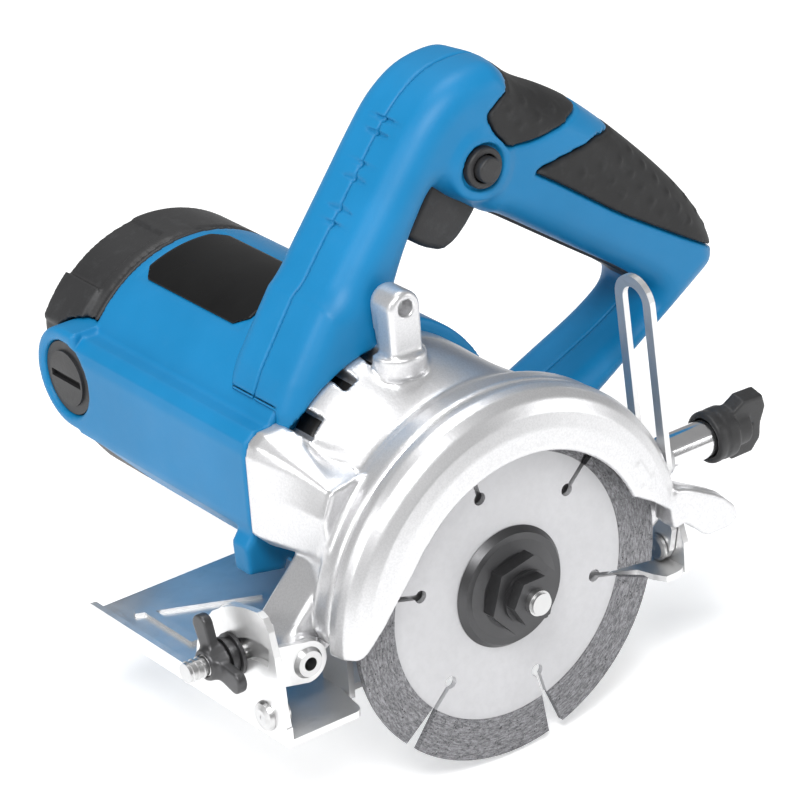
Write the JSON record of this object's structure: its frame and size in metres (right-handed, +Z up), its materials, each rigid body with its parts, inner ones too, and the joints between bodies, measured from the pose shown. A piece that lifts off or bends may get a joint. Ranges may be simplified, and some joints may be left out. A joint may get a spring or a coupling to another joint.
{
  "type": "marble_cutter",
  "caption": "Hand-held stone and tile cutter with a segmented diamond blade, cast guard, closed D handle, tilting base and depth guide.",
  "frame": {"origin": "underside of the base, directly below the spindle at the middle of the blade thickness", "axes": "+X towards the rear of the saw and the user, +Y along the spindle from the blade towards the motor, +Z up and away from the work"},
  "size_m": [0.2186, 0.1776, 0.199],
  "materials": {
    "blue_shell": "satin",
    "black_plastic": "fine grain",
    "grip_rubber": "textured",
    "cast_alloy": "blasted",
    "zinc_sheet": "bright zinc",
    "steel": "turned",
    "dark_steel": "blackened",
    "blade_steel": "sprayed",
    "diamond_segment": "sintered",
    "chrome": "polished",
    "copper_wire": "enamelled",
    "lamination": "stacked",
    "brass": "drawn",
    "carbon": "graphite",
    "fan_nylon": "moulded",
    "label_black": "printed blank"
  },
  "bodies": {
    "base": {"base_plate": "zinc_sheet", "bevel_rivets": "steel"},
    "tilt_frame": {"front_tilt_bracket": "zinc_sheet", "rear_tilt_bracket": "zinc_sheet", "bevel_stud": "steel", "stud_washers": "dark_steel", "depth_pivot_pin": "steel", "guide_hinge_pin": "steel"},
    "wing_nut_body": {"wing_nut": "dark_steel"},
    "depth_bar": {"depth_guide_bar": "zinc_sheet"},
    "saw_body": {"gear_housing": "cast_alloy", "blade_guard": "cast_alloy", "spindle_bearings": "steel", "armature_bearings": "steel", "motor_housing": "blue_shell", "end_cap": "black_plastic", "label_plate": "label_black", "stator_core": "lamination", "field_windings": "copper_wire", "brush_holders": "brass", "carbon_brushes": "carbon", "brush_springs": "steel", "brush_caps": "black_plastic", "handle_shell_blade_side": "blue_shell", "handle_shell_motor_side": "blue_shell", "grip_pad_front": "grip_rubber", "grip_pad_rear": "grip_rubber", "grip_underside_strip": "grip_rubber", "switch_body": "black_plastic", "lock_button_collar": "black_plastic", "handle_screws": "steel", "housing_screws": "steel", "depth_lock_stud": "steel", "depth_lock_sleeve": "chrome"},
    "spindle": {"spindle_shaft": "steel", "spindle_gear": "dark_steel", "inner_flange": "dark_steel", "blade_core": "blade_steel", "blade_segments": "diamond_segment", "outer_flange": "dark_steel", "flange_nut": "dark_steel"},
    "armature": {"armature_shaft": "steel", "armature_core": "lamination", "armature_windings": "copper_wire", "commutator": "brass", "cooling_fan": "fan_nylon", "drive_pinion": "dark_steel"},
    "trigger": {"switch_trigger": "black_plastic"},
    "lock_button": {"lock_on_button": "black_plastic"},
    "depth_knob": {"depth_lock_knob": "black_plastic"}
  },
  "joints": [
    {"name": "bevel_tilt", "type": "hinge", "parent": "base", "child": "tilt_frame", "pos_m": [0, 0.007, 0.0065], "axis": [1, 0, 0], "range_deg": [0, 45]},
    {"name": "depth_swing", "type": "hinge", "parent": "tilt_frame", "child": "saw_body", "pos_m": [-0.0667, 0.0205, 0.017], "axis": [0, -1, 0], "range_deg": [0, 24]},
    {"name": "depth_bar_lean", "type": "hinge", "parent": "tilt_frame", "child": "depth_bar", "pos_m": [0.0666, 0.011, 0.025], "axis": [0, -1, 0], "range_deg": [0, 14.16]},
    {"name": "spindle_spin", "type": "hinge", "parent": "saw_body", "child": "spindle", "pos_m": [0, 0, 0.02], "axis": [0, 1, 0], "continuous": true},
    {"name": "armature_spin", "type": "hinge", "parent": "saw_body", "child": "armature", "pos_m": [-0.0109, 0.08, 0.0427], "axis": [0, 1, 0], "continuous": true},
    {"name": "trigger_pull", "type": "slide", "parent": "saw_body", "child": "trigger", "axis": [0.6, 0, 0.8], "range_m": [0, 0.006], "stiffness_N_per_m": 700, "springref_m": -0.006},
    {"name": "lock_press", "type": "slide", "parent": "saw_body", "child": "lock_button", "axis": [0, 1, 0], "range_m": [0, 0.003], "stiffness_N_per_m": 500, "springref_m": -0.004},
    {"name": "wing_nut_turn", "type": "hinge", "parent": "tilt_frame", "child": "wing_nut_body", "pos_m": [-0.088, 0.0211, 0.0211], "axis": [-1, 0, 0], "range_deg": [0, 180]},
    {"name": "depth_knob_turn", "type": "hinge", "parent": "saw_body", "child": "depth_knob", "pos_m": [0.095, 0.0105, 0.034], "axis": [1, 0, 0], "range_deg": [0, 180]}
  ],
  "couplings": [
    {"joint": "armature_spin", "follows": "spindle_spin", "ratio": -2.1176},
    {"joint": "depth_bar_lean", "follows": "depth_swing", "ratio": 0.59}
  ]
}
